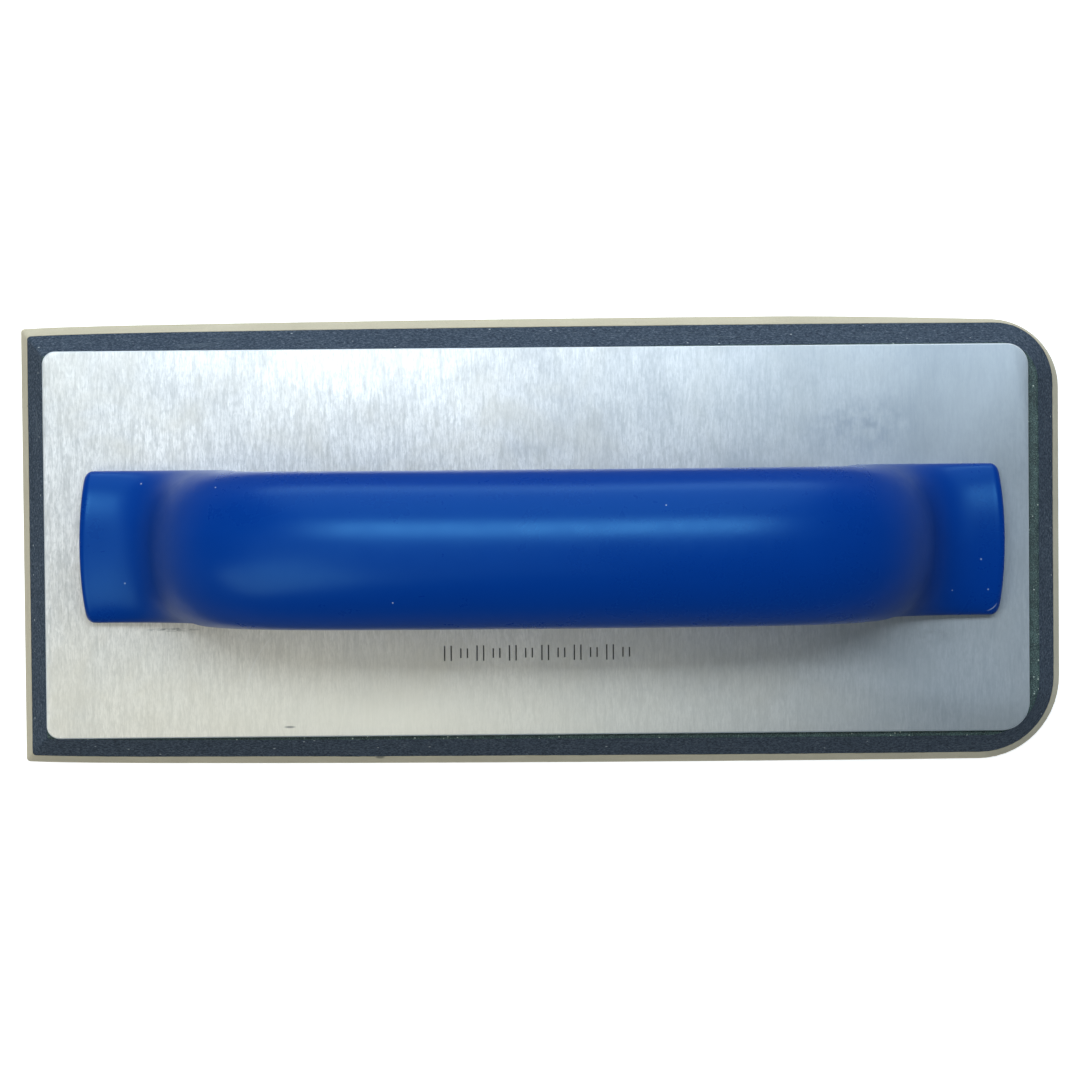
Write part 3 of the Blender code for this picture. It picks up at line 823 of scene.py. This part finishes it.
def build_handle():
    rows = handle_rows()
    end_round = 1.8 * MM
    end_steps = 8
    lowering_share = 0.6

    def rounded_end(row):
        rings = []
        for step in range(1, end_steps + 1):
            angle = math.radians(90) * step / end_steps
            inward = end_round * (1 - math.cos(angle))
            push = end_round * math.sin(angle)
            rings.append(handle_ring(row, inward, inward * lowering_share, push))
        return rings

    rings = rounded_end(rows[0])[::-1]
    rings += [handle_ring(row) for row in rows]
    rings += rounded_end(rows[-1])
    return piece_from_bmesh(skin(rings), "moulded_handle", 45)


# ---- camera, lights and floor -------------------------------------------------------


def build_camera():
    place = Vector((-5.9 * MM, 27.7 * MM, 840 * MM))
    target = Vector((-0.4 * MM, 0.2 * MM, 0))
    roll = 0.0089
    forward = (target - place).normalized()
    right = forward.cross(Vector((math.sin(roll), math.cos(roll), 0))).normalized()
    up = right.cross(forward)
    data = bpy.data.cameras.new("camera")
    data.sensor_width = 36
    data.lens = 120.2
    data.clip_start = 0.01
    data.clip_end = 50
    camera = bpy.data.objects.new("camera", data)
    axes = Matrix((right, up, -forward)).transposed()
    camera.matrix_world = Matrix.Translation(place) @ axes.to_4x4()
    bpy.context.scene.collection.objects.link(camera)
    bpy.context.scene.camera = camera


def area_light(name, lean, distance, size, radiance, colour):
    """A soft panel that faces the tool. It leans from overhead by lean, in degrees
    towards +X and +Y, and radiance is how bright its surface is."""
    lean_x, lean_y = (math.tan(math.radians(degrees)) for degrees in lean)
    direction = Vector((lean_x, lean_y, 1)).normalized()
    data = bpy.data.lights.new(name, "AREA")
    data.shape = "RECTANGLE"
    data.size, data.size_y = size
    data.energy = radiance * size[0] * size[1] * math.pi
    data.color = colour
    light = bpy.data.objects.new(name, data)
    light.location = direction * distance
    light.rotation_euler = (-direction).to_track_quat("-Z", "Y").to_euler()
    bpy.context.scene.collection.objects.link(light)


def build_lights():
    """The key draws the streak along the grip, and the others fill in round it."""
    area_light("key", (0, 19), 1.1, (1.06, 0.25), 9.5, (0.82, 0.92, 1.0))
    area_light("back_wide", (0, 60), 1.5, (1.8, 1.3), 1.3, (0.85, 0.93, 1.0))
    area_light("back_low", (0, 82), 1.5, (1.6, 0.35), 2.2, (0.82, 0.92, 1.0))
    area_light("left_near", (-20, -6), 0.6, (0.50, 0.50), 0.40, (1.0, 0.92, 0.82))
    area_light("left_front", (-40, -26), 0.6, (0.26, 0.36), 2.0, (1.0, 0.94, 0.74))


def build_world():
    """Dim blue all round, but plain white where the camera looks past the floor."""
    world = bpy.data.worlds.new("studio")
    world.use_nodes = True
    tree = world.node_tree
    background = tree.nodes["Background"]
    background.inputs["Color"].default_value = (0.55, 0.80, 1.0, 1)
    background.inputs["Strength"].default_value = 0.16
    seen = tree.nodes.new("ShaderNodeBackground")
    seen.inputs["Color"].default_value = (1, 1, 1, 1)
    seen.inputs["Strength"].default_value = 1.0
    path = tree.nodes.new("ShaderNodeLightPath")
    choose = tree.nodes.new("ShaderNodeMixShader")
    tree.links.new(path.outputs["Is Camera Ray"], choose.inputs[0])
    tree.links.new(background.outputs[0], choose.inputs[1])
    tree.links.new(seen.outputs[0], choose.inputs[2])
    tree.links.new(choose.outputs[0], tree.nodes["World Output"].inputs["Surface"])
    bpy.context.scene.world = world


def build_floor():
    """A wide pale floor that glows with a painted pool of light round the tool. It is left out
    of mirror reflections, so that the handle's steep sides keep their blue."""
    bm = bmesh.new()
    bmesh.ops.create_grid(bm, x_segments=8, y_segments=8, size=4)
    floor = piece_from_bmesh(bm, "floor")
    floor.location.z = -0.05 * MM
    floor.data.materials.append(floor_material())
    floor.visible_glossy = False


# ---- assembly -----------------------------------------------------------------------


def add_piece(piece, material, node):
    """Show piece, in material, in place of the frame's node."""
    piece.data.materials.clear()
    piece.data.materials.append(material)
    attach(piece, "root")
    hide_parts(node)


bpy.context.scene.view_settings.view_transform = "Standard"
build_camera()
build_lights()
build_world()
build_floor()
add_piece(build_gum(), gum_rubber_material(), "gum_rubber_face")
add_piece(build_cement(), cement_material(), "face_bond_film")
add_piece(build_foam(), sponge_material(), "foam_core")
add_piece(build_green_film(), green_film_material(), "plate_bond_film")
add_piece(build_plate(), aluminium_material(), "backing_plate")
add_piece(build_handle(), handle_material(), "handle")
zinc = zinc_material()
for number in range(1, 5):
    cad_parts[f"handle_screw_{number}"].data.materials.clear()
    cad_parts[f"handle_screw_{number}"].data.materials.append(zinc)
